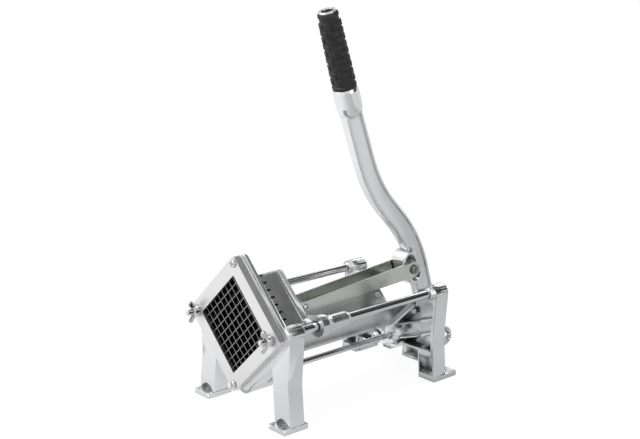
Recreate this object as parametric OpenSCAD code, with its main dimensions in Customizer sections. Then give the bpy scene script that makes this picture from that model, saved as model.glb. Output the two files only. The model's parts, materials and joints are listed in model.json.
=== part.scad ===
// French fry cutter: lever, linked pusher on two guide rods, square blade grid.
// Units are millimetres. X is to the right seen from the front, Y runs to the
// rear, Z is up. The origin is on the floor in the middle of the four foot holes.
// Lengths along Y below are counted from the face of the front plate, and home
// moves each finished piece to the origin.

/* [Blade grid] */

// Cell pitch of the blade grid, one strip wide
cell_pitch = 9; // [8.8:0.1:9.2]
// Thickness of one blade
blade_thick = 0.8; // [0.5:0.1:1.2]
// Depth of one blade along the push
blade_depth = 9.6; // [7:0.1:9.6]

/* [Front plate] */

// Outer side of the square front plate
plate_side = 106; // [104:0.5:110]
// Thickness of the front plate
plate_thick = 8.5; // [7:0.1:9]
// Corner radius of the front plate
plate_corner = 3; // [2:0.5:5]

/* [Frames] */

// Height of the centre of the square opening
opening_height = 101; // [99:0.5:103]
// Width across the outer faces of the feet
foot_span = 152; // [150:0.5:156]
// Thickness of the foot plates
foot_thick = 5.5; // [4:0.5:8]
// Radius of the screw holes in the feet
foot_hole_radius = 3.2; // [2.5:0.1:4]
// Distance from the front plate's face to the rear frame
frame_distance = 230; // [225:1:240]
// Wall thickness of the castings
casting_wall = 4; // [3:0.5:5]

/* [Rods] */

// Radius of the two guide rods
rod_radius = 4.5; // [4:0.1:4.8]
// Half distance between the guide rods
rod_half_span = 66; // [65:0.5:66.5]
// Radius of the lower tie rod
tie_rod_radius = 3.5; // [3:0.1:4]

/* [Pusher] */

// Side of the square finger block
block_side = 70.5; // [69:0.5:70.5]
// Depth of the slots between the fingers
finger_depth = 11; // [10.5:0.5:14]
// Width of the slots between the fingers
finger_slot = 2.6; // [2:0.1:3]
// Outer radius of the sleeves that run on the rods
sleeve_radius = 8; // [7.5:0.1:9]

/* [Lever] */

// Width of the lever across its sides
lever_width = 14; // [12:0.5:15]
// Depth of the lever from front edge to rear edge
lever_depth = 24; // [22:0.5:24.5]
// Radius of the two bends in the lever
bend_radius = 168; // [165:1:172]
// Length of the rubber grip
grip_length = 86; // [80:1:88]
// Largest radius of the rubber grip
grip_radius = 13.6; // [13:0.1:14]

/* [Hidden] */

// node names, one printed piece or one set of equal fasteners each

$fn = 72;

// colours
cast_colour = [0.80, 0.81, 0.82];
plate_colour = [0.84, 0.84, 0.85];
steel_colour = [0.72, 0.73, 0.75];
sheet_colour = [0.62, 0.63, 0.64];
zinc_colour = [0.70, 0.73, 0.68];
rubber_colour = [0.08, 0.08, 0.08];
bronze_colour = [0.66, 0.52, 0.30];

// clearances
fixed_gap = 0.02;
running_gap = 0.05;
seat_gap = 0.1;
eps = 0.01;

// blade grid
opening_side = 76;
ring_side = 92;
ring_reach = 56.8;
ring_front = 3.4;
ring_depth = 10;
blade_length = opening_side + 8;
blade_front = ring_front + 0.2;
blade_mid = blade_front + blade_depth / 2;
blade_rows = [-3.5:3.5];

// front plate
zc = opening_height;
screw_radius = 2.5;
screw_reach = 66.5;
stud_reach = 60.4;
stud_radius = 3;

// front frame
flange_back = 17.5;
leg_front = 14;
leg_depth = 19;
leg_back = leg_front + leg_depth;
foot_out = foot_span / 2;
foot_in = foot_out - 25;
foot_hole_x = foot_out - 11.5;
front_hole_y = 14;
rear_hole_y = frame_distance + 28;
home = [0, -(front_hole_y + rear_hole_y) / 2, 0];
leg_top_radius = 10;
leg_top_x = rod_half_span - 1;
leg_top_z = zc + 1.5;
leg_out_top = leg_top_x + leg_top_radius;
leg_out_kink = foot_out - 4.5;
leg_kink_z = 50;
skirt_reach = 83;
skirt_foot = 12;
trough_floor = 47.6;
arch_radius = 9;

// rods
rod_z = zc + 3.2;
rod_front = 18.5;
rear_front = frame_distance;
rear_back = rear_front + leg_depth;
rod_back = rear_back - 2;
tie_z = 35.5;
boss_radius = 8;
tie_boss_radius = 14;

// trough
sheet = 1.2;
trough_half = 40;
trough_front = leg_back + 0.1;
trough_back = rear_front + 15;
trough_screw_x = 28;
front_screw_y = leg_back + 8;
rear_screw_y = rear_front + 10;

// pusher at the photographed position
block_front = 27;
block_back = 55;
flange_end = 64.5;
ear_front = 57;
ear_back = 66;
sleeve_back = 100;
sleeve_length = sleeve_back - ear_back + 1;
bush_radius = rod_radius + 1.5;

// linkage, as Y and Z in the middle plane
pin_y = frame_distance + 28;
pin_z = 114;
pin_radius = 4;
fulcrum_y = frame_distance + 76;
fulcrum_z = 23;
fulcrum_radius = 5;
slot_half_width = 7.1;
slot_half_length = 18.3;
slot_shift = 2.03;
slot_wall = 4.4;
slot_lean = 90 + atan2(fulcrum_y - pin_y, pin_z - fulcrum_z);

// channel
channel_half = 13;
channel_wall = 2;
channel_front = 68;
channel_floor_end = frame_distance + 10;
channel_end_radius = 9.5;

// lever centre line, from the grip down to the fulcrum
lean_grip = 18.5;
lean_top = 21;
lean_mid = 44;
lean_low = atan2(28.5, 110 - fulcrum_z);
bend_top_y = frame_distance - 45.7;
bend_top_z = 250;
straight_mid = 26.4;
bend_one_y = bend_top_y + bend_radius * cos(lean_top);
bend_one_z = bend_top_z + bend_radius * sin(lean_top);
bend_one_end_y = bend_one_y - bend_radius * cos(lean_mid);
bend_one_end_z = bend_one_z - bend_radius * sin(lean_mid);
bend_two_start_y = bend_one_end_y + straight_mid * sin(lean_mid);
bend_two_start_z = bend_one_end_z - straight_mid * cos(lean_mid);
bend_two_y = bend_two_start_y - bend_radius * cos(lean_mid);
bend_two_z = bend_two_start_z - bend_radius * sin(lean_mid);
bend_steps = 16;
top_length = 62;
socket_y = bend_top_y - top_length * sin(lean_top);
socket_z = bend_top_z + top_length * cos(lean_top);
socket_length = 29;
socket_radius = 14.6;
core_radius = 8;
lever_rim = 3.4;
lever_recess = 3;
lever_hub = 20;
fulcrum_boss_radius = 13;
fulcrum_boss_width = 19;
arm_inner = 10;
arm_outer = 22;

// ---- helpers ----

// extrudes a front view shape, drawn as X and Z, from y0 over depth
module front_view(y0, depth) {
    translate([0, y0 + depth, 0])
        rotate([90, 0, 0])
            linear_extrude(depth)
                children();
}

// extrudes a side view shape, drawn as Y and Z, from x0 over width
module side_view(x0, width) {
    translate([x0, 0, 0])
        rotate([90, 0, 90])
            linear_extrude(width)
                children();
}

// a cylinder along Y
module rod_y(x, z, y0, y1, r) {
    translate([x, y0, z])
        rotate([-90, 0, 0])
            cylinder(h = y1 - y0, r = r);
}

// a cylinder along X
module rod_x(y, z, x0, x1, r) {
    translate([x0, y, z])
        rotate([0, 90, 0])
            cylinder(h = x1 - x0, r = r);
}

module both_sides() {
    children();
    mirror([1, 0, 0])
        children();
}

// square standing on its corner, centred on the opening
module diamond(side) {
    translate([0, zc])
        rotate(45)
            square(side, center = true);
}

module rounded_diamond(side, r) {
    inset = side / 2 - r;
    translate([0, zc])
        rotate(45) {
            square([side, side - 2 * r], center = true);
            square([side - 2 * r, side], center = true);
            for (a = [-inset, inset], b = [-inset, inset])
                translate([a, b])
                    circle(r);
        }
}

// ---- castings ----

// outline of one leg and its shoulder, right side
module leg_outline() {
    polygon([[foot_in + 1, 0], [foot_out, 0], [foot_out - 0.3, 8], [leg_out_kink, leg_kink_z],
        [leg_out_top, leg_top_z], [45, leg_top_z], [42, 66], [46, 60], [47.5, leg_kink_z]]);
    translate([leg_top_x, leg_top_z])
        circle(leg_top_radius);
}

// hollow of one leg between two heights
module leg_hollow(low, high) {
    intersection() {
        polygon([[foot_in + 5, foot_thick + 3], [foot_out - 4.3, foot_thick + 3],
            [leg_out_kink - casting_wall, leg_kink_z], [leg_out_top - casting_wall, zc - 9],
            [55, zc - 9], [51.5, 62], [51.5, leg_kink_z]]);
        translate([40, low])
            square([40, high - low]);
    }
}

// the two upper cells of a leg's hollow, with a cross rib left standing between them
module upper_cells() {
    leg_hollow(29.5, 60);
    leg_hollow(62.5, zc);
}

// foot plate with its screw hole, right side
module foot(y0, y1, hole_y) {
    difference() {
        translate([foot_in, y0, 0])
            cube([foot_out - foot_in, y1 - y0, foot_thick]);
        translate([foot_hole_x, hole_y, -1])
            cylinder(h = foot_thick + 2, r = foot_hole_radius);
    }
}

// arched pocket over the foot screw, seen from outside the leg
module screw_arch(y0, y1) {
    rod_y(foot_hole_x, foot_thick + 4, y0, y1, arch_radius);
    translate([foot_hole_x - arch_radius, y0, foot_thick])
        cube([2 * arch_radius, y1 - y0, 4]);
}

// V shaped shelf that carries the trough
module trough_shelf(y0, depth) {
    front_view(y0, depth)
        polygon([[0, trough_floor], [trough_half - 4, trough_floor + trough_half - 4],
            [trough_half - 1.5, trough_floor + trough_half - 6.5], [0, trough_floor - 5],
            [1.5 - trough_half, trough_floor + trough_half - 6.5],
            [4 - trough_half, trough_floor + trough_half - 4]]);
}

// screw holes through a shelf, square to its two faces
module shelf_bores(y) {
    both_sides()
        translate([trough_screw_x, y, trough_floor + trough_screw_x])
            rotate([0, 135, 0])
                cylinder(h = 24, r = 2.1, center = true);
}

module front_frame() {
    color(cast_colour)
    translate(home)
    difference() {
        union() {
            // square flange behind the front plate, with two grooves around its edge
            front_view(plate_thick, flange_back - plate_thick)
                rounded_diamond(plate_side - 2, plate_corner);
            front_view(plate_thick + 0.9, 2.7)
                rounded_diamond(plate_side - 0.4, plate_corner);
            front_view(plate_thick + 4.4, flange_back - plate_thick - 4.4)
                rounded_diamond(plate_side, plate_corner);
            // skirt under the opening, round at the bottom
            front_view(leg_front, leg_depth)
                polygon([[skirt_foot, zc - skirt_reach + skirt_foot], [55, zc - skirt_reach + 55], [55, zc],
                    [-55, zc], [-55, zc - skirt_reach + 55], [-skirt_foot, zc - skirt_reach + skirt_foot]]);
            // legs and shoulders
            both_sides() {
                front_view(leg_front, leg_depth)
                    leg_outline();
                rod_y(rod_half_span, rod_z, leg_front, leg_back + 1.5, boss_radius);
                foot(6, 38, front_hole_y);
            }
            rod_y(0, tie_z, leg_front, 46, tie_boss_radius);
            trough_shelf(leg_back - 1, 18);
        }
        // opening and the seat of the blade ring
        front_view(0, 60)
            diamond(opening_side + 0.6);
        front_view(0, ring_front + ring_depth + 0.2)
            ring_outline(seat_gap);
        // hollow back
        both_sides() {
            front_view(leg_front + casting_wall, 40) {
                leg_hollow(0, 27);
                upper_cells();
            }
            screw_arch(0, leg_front + 9);
            translate([foot_hole_x, front_hole_y, -1])
                cylinder(h = foot_thick + 2, r = foot_hole_radius);
        }
        front_view(flange_back + 1, 40)
            skirt_hollow();
        both_sides() {
            rod_y(rod_half_span, rod_z, rod_front - 0.5, 60, rod_radius + fixed_gap);
            rod_y(stud_reach, zc, 0, 17, stud_radius + fixed_gap);
            translate([rod_half_span, leg_back - 3, rod_z])
                cylinder(h = 20, r = 2 + fixed_gap);
        }
        rod_y(0, tie_z, 22, 60, tie_rod_radius + fixed_gap);
        rod_y(0, zc - screw_reach, 0, 15, screw_radius + fixed_gap);
        rod_y(0, zc + screw_reach, 0, 15, screw_radius + fixed_gap);
        shelf_bores(front_screw_y);
    }
}

// pockets in the back of the skirt, divided by ribs
module skirt_hollow() {
    difference() {
        intersection() {
            translate([-50, 0])
                square([100, zc - 10]);
            diamond((skirt_reach - 5.5) * sqrt(2));
        }
        diamond(opening_side + 9);
        translate([0, tie_z])
            circle(tie_boss_radius);
        translate([-3, 0])
            square([6, 60]);
        both_sides() {
            translate([33, 45])
                square([3, 40]);
            translate([leg_top_x - 14, 60])
                square([40, 60]);
            polygon([[0, trough_floor - 5], [60, trough_floor + 55], [60, trough_floor + 60],
                [0, trough_floor]]);
        }
    }
}

// outline of the cross web of the rear frame, with the V for the trough
module rear_web() {
    polygon([[0, 22], [13, 24], [24, 31], [24, 18], [60, 18], [60, 98], [49, 98],
        [trough_half - 4, trough_floor + trough_half - 4], [0, trough_floor],
        [4 - trough_half, trough_floor + trough_half - 4], [-49, 98], [-60, 98],
        [-60, 18], [-24, 18], [-24, 31], [-13, 24]]);
}

// one of the two arms that carry the fulcrum, side view
module arm_outline() {
    polygon([[rear_back - 3, 12], [fulcrum_y, fulcrum_z - 12], [fulcrum_y + 4, fulcrum_z + 11.3],
        [rear_front + 42, 45], [rear_front + 28, 56], [rear_back - 3, 60]]);
    translate([fulcrum_y, fulcrum_z])
        circle(12);
}

module rear_frame() {
    color(cast_colour)
    translate(home)
    difference() {
        union() {
            both_sides() {
                front_view(rear_front, leg_depth)
                    leg_outline();
                rod_y(rod_half_span, rod_z, rear_front - 3, rear_back, boss_radius);
                rod_y(rod_half_span, rod_z, rear_front - 6, rear_front, boss_radius - 1.5);
                foot(rear_front + 6, rear_front + 37, rear_hole_y);
                side_view(arm_inner, arm_outer - arm_inner)
                    arm_outline();
            }
            front_view(rear_back - 5, 5)
                rear_web();
            // lower rail, shelf and web ribs
            both_sides() {
                front_view(rear_front + 1, leg_depth - 1)
                    polygon([[0, 22], [13, 24], [24, 31], [24, 18], [56, 18], [56, 21], [27, 21],
                        [27, 34.5], [22, 34.5], [13, 28], [0, 26]]);
                front_view(rear_front + 1, leg_depth - 1)
                    polygon([[25, 31.5], [56, 31.5], [56, 34.5], [25, 34.5]]);
                // two ribs that rise from the middle to the leg
                front_view(rear_front + 5, leg_depth - 5)
                    polygon([[12, 50], [56, 66.5], [56, 69.5], [12, 53]]);
                front_view(rear_front + 5, leg_depth - 5)
                    polygon([[12, 33], [56, 49.5], [56, 52.5], [12, 36]]);
            }
            rod_y(0, tie_z, rear_front + 4, rear_back + 6, tie_boss_radius);
            trough_shelf(rear_front + 4, 15);
        }
        // room over the V where the trough and the channel pass
        front_view(rear_front - 10, 60)
            polygon([[0, trough_floor], [trough_half + 1, trough_floor + trough_half + 1], [44, 98],
                [44, 130], [-44, 130], [-44, 98], [-trough_half - 1, trough_floor + trough_half + 1]]);
        both_sides() {
            front_view(rear_front - 20, 20 + leg_depth - casting_wall)
                leg_hollow(0, 27);
            front_view(rear_front + casting_wall, 40)
                upper_cells();
            screw_arch(rear_back - 9, rear_back + 30);
            rod_y(rod_half_span, rod_z, rear_front - 20, rod_back + 0.5, rod_radius + fixed_gap);
            translate([rod_half_span, rear_front + 3, rod_z])
                cylinder(h = 20, r = 2 + fixed_gap);
        }
        rod_y(0, tie_z, rear_front - 5, rear_back + 20, tie_rod_radius + fixed_gap);
        rod_x(fulcrum_y, fulcrum_z, -40, 40, fulcrum_radius + fixed_gap);
        shelf_bores(rear_screw_y);
    }
}

// ---- rods ----

module guide_rod() {
    translate([0, rod_front, rod_z])
        rotate([-90, 0, 0])
            rotate_extrude()
                polygon([[0, 0], [rod_radius - 1, 0], [rod_radius, 1], [rod_radius, rod_back - rod_front - 1],
                    [rod_radius - 1, rod_back - rod_front], [0, rod_back - rod_front]]);
}

module guide_rod_left() {
    color(steel_colour)
    translate(home)
        translate([-rod_half_span, 0, 0])
            guide_rod();
}

module guide_rod_right() {
    color(steel_colour)
    translate(home)
        translate([rod_half_span, 0, 0])
            guide_rod();
}

module tie_rod() {
    color(steel_colour)
    translate(home)
        rod_y(0, tie_z, 23, rear_back + 14, tie_rod_radius);
}

module tie_rod_nut() {
    color(steel_colour)
    translate(home)
    difference() {
        union() {
            rod_y(0, tie_z, rear_back + 6 + eps, rear_back + 7.5, 8);
            translate([0, rear_back + 7.5, tie_z])
                rotate([-90, 0, 0])
                    cylinder(h = 5.5, r = 6.6, $fn = 6);
        }
        rod_y(0, tie_z, rear_back, rear_back + 20, tie_rod_radius + fixed_gap);
    }
}

// a set screw over each end of the guide rods
module rod_set_screws() {
    color(steel_colour)
    translate(home)
    both_sides()
        for (y = [leg_back - 3, rear_front + 3])
            translate([rod_half_span, y, rod_z + rod_radius + 0.05])
                difference() {
                    cylinder(h = boss_radius - rod_radius - 0.6, r = 2);
                    translate([0, 0, 1.6])
                        cylinder(h = 6, r = 1.1, $fn = 6);
                }
}

// ---- front plate and blades ----

module front_plate() {
    color(plate_colour)
    translate(home)
    difference() {
        front_view(0, plate_thick - eps)
            rounded_diamond(plate_side, plate_corner);
        front_view(-1, 20)
            diamond(opening_side);
        front_view(ring_front - 0.1, 20)
            ring_outline(seat_gap);
        both_sides()
            rod_y(stud_reach, zc, -1, 20, stud_radius + 0.3);
        rod_y(0, zc - screw_reach, -1, 20, screw_radius + 0.3);
        rod_y(0, zc + screw_reach, -1, 20, screw_radius + 0.3);
    }
}

module plate_screws() {
    color(steel_colour)
    translate(home)
    for (z = [zc - screw_reach, zc + screw_reach])
        translate([0, 0, z])
            difference() {
                rotate([-90, 0, 0])
                    rotate_extrude()
                        polygon([[0, -2.6], [2.4, -2.6], [4.2, -1.5], [4.6, -eps], [screw_radius, -eps],
                            [screw_radius, 14], [0, 14]]);
                translate([-3, -4, -0.55])
                    cube([6, 2.6, 1.1]);
                translate([-0.55, -4, -3])
                    cube([1.1, 2.6, 6]);
            }
}

// outline of the blade ring, its corners cut off so that it clears the studs
module ring_outline(gap) {
    reach = 2 * (ring_reach + gap);
    intersection() {
        diamond(ring_side + 2 * gap);
        translate([0, zc])
            square(reach, center = true);
    }
}

module blade_ring() {
    color(steel_colour)
    translate(home)
    difference() {
        front_view(ring_front, ring_depth)
            ring_outline(0);
        front_view(0, 30)
            diamond(opening_side);
        for (turn = [45, -45], row = blade_rows)
            translate([0, blade_front - 0.1, zc])
                rotate([0, turn, 0])
                    translate([-blade_length / 2 - 0.1, 0, row * cell_pitch - blade_thick / 2 - 0.1])
                        cube([blade_length + 0.2, 20, blade_thick + 0.2]);
    }
}

// one set of parallel blades, each cut half through where it crosses the others
module blade_set(turn, cut_start) {
    translate([0, 0, zc])
        rotate([0, turn, 0])
            for (row = blade_rows)
                difference() {
                    translate([-blade_length / 2, blade_front, row * cell_pitch - blade_thick / 2])
                        cube([blade_length, blade_depth, blade_thick]);
                    for (cross = blade_rows)
                        translate([cross * cell_pitch - blade_thick / 2 - 0.1, cut_start,
                            row * cell_pitch - 2])
                            cube([blade_thick + 0.2, blade_depth / 2 + 1.05, 4]);
                }
}

module blades_rising() {
    color(steel_colour)
    translate(home)
        blade_set(-45, blade_front - 1);
}

module blades_falling() {
    color(steel_colour)
    translate(home)
        blade_set(45, blade_mid - 0.05);
}

module wing_studs() {
    color(steel_colour)
    translate(home)
    both_sides()
        translate([stud_reach, -15, zc])
            rotate([-90, 0, 0])
                rotate_extrude()
                    polygon([[0, 0], [stud_radius - 0.8, 0], [stud_radius, 0.8], [stud_radius, 31],
                        [stud_radius - 1, 31.8], [0, 31.8]]);
}

module stud_washers() {
    color(steel_colour)
    translate(home)
    both_sides()
        difference() {
            rod_y(stud_reach, zc, -1.2 - eps, -eps, 6);
            rod_y(stud_reach, zc, -5, 5, stud_radius + 0.1);
        }
}

// wing nut with two forward leaning wings
module wing_nut(x) {
    translate([x, 0, zc])
        difference() {
            union() {
                translate([0, -1.3, 0])
                    rotate([90, 0, 0])
                        rotate_extrude()
                            polygon([[0, 0], [5.6, 0], [5, 5.5], [4.2, 6.2], [0, 6.2]]);
                for (flip = [1, -1])
                    nut_wing(flip);
            }
            rod_y(0, 0, -30, 5, stud_radius + running_gap);
        }
}

module nut_wing(flip) {
    rotate([0, flip > 0 ? 0 : 180, 0])
        translate([-1.1, 0, 0])
            rotate([90, 0, 90])
                linear_extrude(2.2) {
                    polygon([[-1.8, 3], [-1.8, 5], [-6.6, 10.6], [-12.6, 7], [-7.2, 3]]);
                    translate([-9.6, 8.8])
                        circle(3.5);
                }
}

module wing_nut_left() {
    color(steel_colour)
    translate(home)
        wing_nut(-stud_reach);
}

module wing_nut_right() {
    color(steel_colour)
    translate(home)
        wing_nut(stud_reach);
}

// ---- trough ----

module trough() {
    inner = sheet * sqrt(2);
    color(sheet_colour)
    translate(home)
    difference() {
        front_view(trough_front, trough_back - trough_front)
            polygon([[0, trough_floor + eps], [trough_half, trough_floor + trough_half],
                [trough_half - sheet / sqrt(2), trough_floor + trough_half + sheet / sqrt(2)],
                [0, trough_floor + inner],
                [sheet / sqrt(2) - trough_half, trough_floor + trough_half + sheet / sqrt(2)],
                [-trough_half, trough_floor + trough_half]]);
        shelf_bores(front_screw_y);
        shelf_bores(rear_screw_y);
    }
}

// the four screws that hold the trough, heads inside
module trough_screws() {
    color(steel_colour)
    translate(home)
    both_sides()
        for (y = [front_screw_y, rear_screw_y])
            translate([trough_screw_x, y, trough_floor + trough_screw_x])
                rotate([0, -45, 0])
                    rotate_extrude()
                        polygon([[0, -8], [1.9, -8], [1.9, sheet + eps], [3.6, sheet + eps],
                            [3.2, sheet + 0.6], [1.6, sheet + 0.9], [0, sheet + 0.9]]);
}

module trough_nuts() {
    color(steel_colour)
    translate(home)
    both_sides()
        for (y = [front_screw_y, rear_screw_y])
            translate([trough_screw_x, y, trough_floor + trough_screw_x])
                rotate([0, -45, 0])
                    translate([0, 0, -6.8])
                        difference() {
                            cylinder(h = 3.2, r = 4, $fn = 6);
                            translate([0, 0, -1])
                                cylinder(h = 6, r = 1.9 + fixed_gap);
                        }
}

// ---- pusher ----

module finger_block() {
    color(cast_colour)
    translate(home)
    difference() {
        front_view(block_front, block_back - block_front)
            rounded_diamond(block_side, 5);
        for (turn = [45, -45], row = blade_rows)
            translate([0, block_front - 1, zc])
                rotate([0, turn, 0])
                    translate([-60, 0, row * cell_pitch - finger_slot / 2])
                        cube([120, finger_depth + 1, finger_slot]);
        for (x = [-22, 22])
            rod_y(x, zc, block_front + 16, block_back + 1, 2.5 + fixed_gap);
        for (z = [-22, 22])
            rod_y(0, zc + z, block_front + 16, block_back + 1, 2.5 + fixed_gap);
    }
}

module block_screws() {
    color(steel_colour)
    translate(home)
    for (spot = [[-22, 0], [22, 0], [0, -22], [0, 22]])
        translate([spot[0], flange_end, zc + spot[1]])
            difference() {
                rotate([90, 0, 0])
                    rotate_extrude()
                        polygon([[0, -4], [4, -4], [4.4, -3.6], [4.4, -eps], [2.5, -eps], [2.5, 20],
                            [0, 20]]);
                translate([0, 1.8, 0])
                    rotate([-90, 0, 0])
                        cylinder(h = 5, r = 2.3, $fn = 6);
            }
}

// outline of one ear of the carriage, right side
module ear_outline() {
    polygon([[30, 82.5], [45, 97], [rod_half_span, rod_z - 11.5], [rod_half_span, rod_z + 11.5],
        [54, 109], [44, 106.5], [36, 113], [26, 113]]);
    translate([rod_half_span, rod_z])
        circle(11.5);
}

module carriage() {
    color(cast_colour)
    translate(home)
    difference() {
        union() {
            front_view(block_back + eps, flange_end - block_back)
                rounded_diamond(block_side, 4.5);
            both_sides() {
                front_view(ear_front, ear_back - ear_front - 4)
                    ear_outline();
                // raised rim of the ear
                front_view(ear_front, ear_back - ear_front)
                    difference() {
                        ear_outline();
                        polygon([[34, 90.5], [44.5, 100.5], [54, 99], [53, 106], [45, 103], [35, 110]]);
                    }
                translate([rod_half_span, ear_back - 1, rod_z])
                    rotate([-90, 0, 0])
                        rotate_extrude()
                            polygon([[0, 0], [11, 0], [9.2, 5], [sleeve_radius, 11],
                                [sleeve_radius, sleeve_length - 4.5], [6.8, sleeve_length], [0, sleeve_length]]);
                // gusset from the ear to the sleeve
                translate([0, 0, rod_z - 2])
                    linear_extrude(4)
                        polygon([[34, ear_back - 1], [60, ear_back - 1], [60, sleeve_back - 4],
                            [57, sleeve_back - 4]]);
            }
            // nose that the channel is fixed to
            translate([-10.8, flange_end - 1, 99.6])
                cube([21.6, 32, 8]);
            // cross rib under the nose
            front_view(flange_end - 1, 7)
                polygon([[-34, 99.5], [-30, 96], [-12, 93], [12, 93], [30, 96], [34, 99.5], [34, 101.5],
                    [-34, 101.5]]);
        }
        // pocket under the channel's front end
        translate([-channel_half - 0.5, channel_front - 0.5, 80])
            cube([2 * channel_half + 1, 40, 19.2]);
        for (side = [-1, 1])
            translate([side * 12.3 - 1.5, channel_front - 0.5, 80])
                cube([3, 40, 40]);
        both_sides()
            rod_y(rod_half_span, rod_z, 40, 130, bush_radius + fixed_gap);
        for (spot = [[-22, 0], [22, 0], [0, -22], [0, 22]]) {
            rod_y(spot[0], zc + spot[1], 50, flange_end + 1, 2.5 + fixed_gap);
            rod_y(spot[0], zc + spot[1], flange_end, flange_end + 30, 5.4);
        }
        for (y = [76, 89])
            rod_x(y, 103.5, -20, 20, 2.5 + fixed_gap);
    }
}

// plain bushes pressed into the sleeves
module rod_bushes() {
    color(steel_colour)
    translate(home)
    both_sides()
        difference() {
            rod_y(rod_half_span, rod_z, ear_front + 1, sleeve_back - 1, bush_radius);
            rod_y(rod_half_span, rod_z, 40, 130, rod_radius + running_gap);
        }
}

// side outline of one flange of the channel
module channel_flange() {
    polygon([[channel_front, 96], [pin_y, 104.5], [pin_y, pin_z + channel_end_radius], [channel_front, 108]]);
    translate([pin_y, pin_z])
        circle(channel_end_radius);
}

module channel() {
    color(zinc_colour)
    translate(home)
    difference() {
        union() {
            for (x = [-channel_half, channel_half - channel_wall])
                side_view(x, channel_wall)
                    channel_flange();
            side_view(-channel_half, 2 * channel_half)
                polygon([[channel_front, 96], [channel_floor_end, 103.7], [channel_floor_end, 105.7],
                    [channel_front, 98]]);
        }
        rod_x(pin_y, pin_z, -30, 30, pin_radius + fixed_gap);
        for (y = [76, 89])
            rod_x(y, 103.5, -30, 30, 2.5 + fixed_gap);
    }
}

module channel_screws() {
    color(steel_colour)
    translate(home)
    for (y = [76, 89])
        translate([channel_half + eps, y, 103.5])
            difference() {
                rotate([0, -90, 0])
                    rotate_extrude()
                        polygon([[0, -3], [2.6, -3], [4.2, -1.6], [4.4, 0], [2.5, 0],
                        [2.5, 2 * channel_half + 5], [0, 2 * channel_half + 5]]);
                translate([1.6, 0, 0])
                    rotate([0, 90, 0])
                        cylinder(h = 5, r = 1.7, $fn = 6);
            }
}

module channel_nuts() {
    color(steel_colour)
    translate(home)
    for (y = [76, 89])
        translate([-channel_half - 4, y, 103.5])
            rotate([0, 90, 0])
                difference() {
                    cylinder(h = 4 - eps, r = 4.6, $fn = 6);
                    translate([0, 0, -1])
                        cylinder(h = 6, r = 2.5 + fixed_gap);
                }
}

// pin through the rear end of the channel and the slot of the lever
module drive_pin() {
    color(steel_colour)
    translate(home)
    difference() {
        translate([channel_half + eps, pin_y, pin_z])
            rotate([0, -90, 0])
                rotate_extrude()
                    polygon([[0, -3], [4.6, -3], [5.4, -2.2], [5.4, 0], [pin_radius, 0],
                        [pin_radius, 2 * channel_half + 4.4], [pin_radius - 0.8, 2 * channel_half + 5.2],
                        [0, 2 * channel_half + 5.2]]);
        translate([channel_half + 1.4, pin_y, pin_z])
            rotate([0, 90, 0])
                cylinder(h = 4, r = 2.2, $fn = 6);
        difference() {
            rod_x(pin_y, pin_z, -channel_half - 2.3, -channel_half - 1.1, 6);
            rod_x(pin_y, pin_z, -channel_half - 3, -channel_half, 3.2);
        }
    }
}

module drive_pin_clip() {
    color(steel_colour)
    translate(home)
    difference() {
        rod_x(pin_y, pin_z, -channel_half - 2.2, -channel_half - 1.2, 7);
        rod_x(pin_y, pin_z, -channel_half - 4, -channel_half + 1, 3.2 + 0.05);
        translate([-channel_half - 4, pin_y - 1.6, pin_z - 10])
            cube([5, 3.2, 10]);
    }
}

// ---- lever ----

// points of an arc, drawn as Y and Z, in equal steps
function arc_points(cy, cz, r, a0, a1) =
    [for (i = [0:bend_steps]) let (a = a0 + (a1 - a0) * i / bend_steps) [cy + r * cos(a), cz + r * sin(a)]];

// a point beside the centre line, out along the lean by along and to the rear by aside
function beside(y, z, lean, aside, along) =
    [y + aside * cos(lean) - along * sin(lean), z + aside * sin(lean) + along * cos(lean)];

// side outline of the lever's band from the socket to the fulcrum, cut by an inset on each edge
module lever_band(inset) {
    half = lever_depth / 2 - inset;
    polygon(concat(
        [beside(bend_top_y, bend_top_z, lean_top, 1.5 - half, top_length)],
        arc_points(bend_one_y, bend_one_z, bend_radius + half, 180 + lean_top, 180 + lean_mid),
        arc_points(bend_two_y, bend_two_z, bend_radius - half, lean_mid, lean_low),
        [beside(fulcrum_y, fulcrum_z, lean_low, -half, 0), beside(fulcrum_y, fulcrum_z, lean_low, half, 0)],
        arc_points(bend_two_y, bend_two_z, bend_radius + half, lean_low, lean_mid),
        arc_points(bend_one_y, bend_one_z, bend_radius - half, 180 + lean_mid, 180 + lean_top),
        [beside(bend_top_y, bend_top_z, lean_top, half - 1.5, top_length)]));
}

// places children, drawn along Z, on the axis of the grip from the top of the band
module on_grip_axis() {
    translate([0, socket_y, socket_z])
        rotate([lean_grip, 0, 0])
            children();
}

// rounded slot and its boss, side view
module slot_shape(grow) {
    translate([pin_y, pin_z])
        rotate(slot_lean)
            translate([0, -slot_shift]) {
                square([2 * (slot_half_length - slot_half_width), 2 * (slot_half_width + grow)],
                    center = true);
                for (end = [-1, 1])
                    translate([end * (slot_half_length - slot_half_width), 0])
                        circle(slot_half_width + grow);
            }
}

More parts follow.
